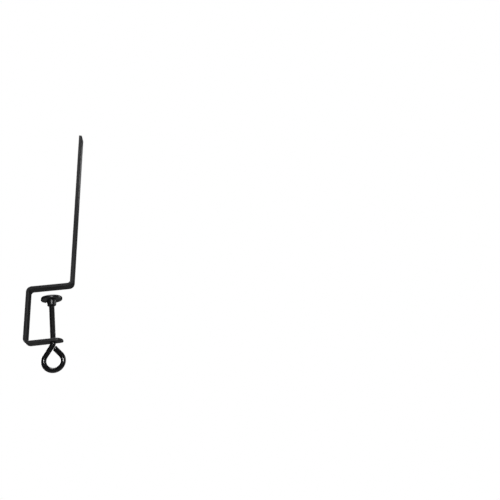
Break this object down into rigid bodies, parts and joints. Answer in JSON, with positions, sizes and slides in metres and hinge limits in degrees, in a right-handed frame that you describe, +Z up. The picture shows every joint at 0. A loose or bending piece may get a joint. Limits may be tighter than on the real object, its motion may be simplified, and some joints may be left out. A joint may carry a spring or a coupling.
{
  "type": "table tennis net clamp",
  "caption": "Flat bar bent into a C-clamp with a tall net post, tightened by an eye screw that carries a swivelling pressure pad.",
  "frame": {"origin": "on the underside of the upper arm, where the screw's axis meets it; that face rests on the table top", "axes": "+Z up along the screw, +X from the back of the C towards the net side, where the jaw is open, +Y along the table's edge, across the bar's width"},
  "size_m": [0.0633, 0.0198, 0.2389],
  "materials": {
    "bar_paint": "satin black paint on bent flat steel bar",
    "screw_finish": "gloss black coated steel",
    "pad_plastic": "gloss black moulded plastic"
  },
  "bodies": {
    "bracket": {"bent_bracket": "bar_paint"},
    "pad": {"pressure_pad": "pad_plastic"},
    "screw": {"eye_screw": "screw_finish"}
  },
  "joints": [
    {"name": "pad_travel", "type": "slide", "parent": "bracket", "child": "pad", "axis": [0, 0, 1], "range_m": [-0.0305, 0]},
    {"name": "screw_turn", "type": "hinge", "parent": "pad", "child": "screw", "pos_m": [0, 0, -0.0483], "axis": [0, 0, 1], "range_deg": [-13680, 0]}
  ],
  "couplings": [
    {"joint": "pad_travel", "follows": "screw_turn", "m_per_rad": 0.00012732}
  ]
}
